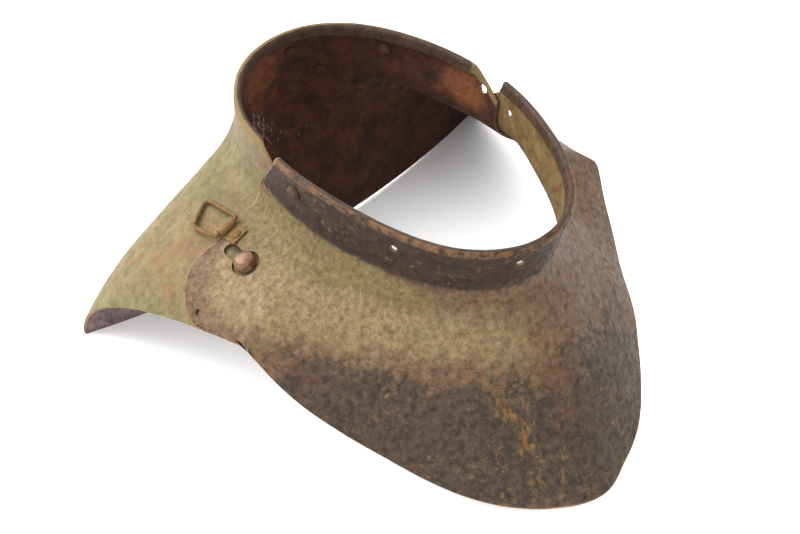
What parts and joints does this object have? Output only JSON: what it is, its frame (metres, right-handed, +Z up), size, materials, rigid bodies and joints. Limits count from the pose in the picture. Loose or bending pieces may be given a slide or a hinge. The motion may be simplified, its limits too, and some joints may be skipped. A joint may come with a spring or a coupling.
{
  "type": "steel gorget",
  "caption": "Two-piece plate gorget for neck and shoulders: pointed front plate over a back plate, short collar with folded rim, keyhole stud and small strap loop.",
  "frame": {"origin": "middle of the footprint, on the plane it rests on", "axes": "+Z up through the neck opening, -Y is the wearer's front, +X is the wearer's left"},
  "size_m": [0.2454, 0.2462, 0.118],
  "materials": {
    "front_plate": "worn dark paint over brown rust, ochre mottling",
    "back_plate": "old olive paint with rust specks outside, red-brown inside",
    "stud": "copper-brown, worn smooth",
    "rivets": "brown rust",
    "hanger": "old paint, rusty at the fold",
    "buckle": "rusty"
  },
  "bodies": {
    "gorget": {"front_plate": "front_plate", "back_plate": "back_plate", "closing_stud": "stud", "pivot_rivet": "rivets", "buckle_hanger": "hanger", "hanger_rivet": "rivets", "front_rivet": "rivets", "back_rivet_left": "rivets", "back_rivet_middle": "rivets", "back_rivet_low": "rivets"},
    "buckle": {"buckle_frame": "buckle"}
  },
  "joints": [
    {"name": "buckle_swing", "type": "hinge", "parent": "gorget", "child": "buckle", "pos_m": [-0.07399, 0.04121, 0.07704], "axis": [0.9317, 0.1009, 0.3488], "range_deg": [0, 120]}
  ]
}
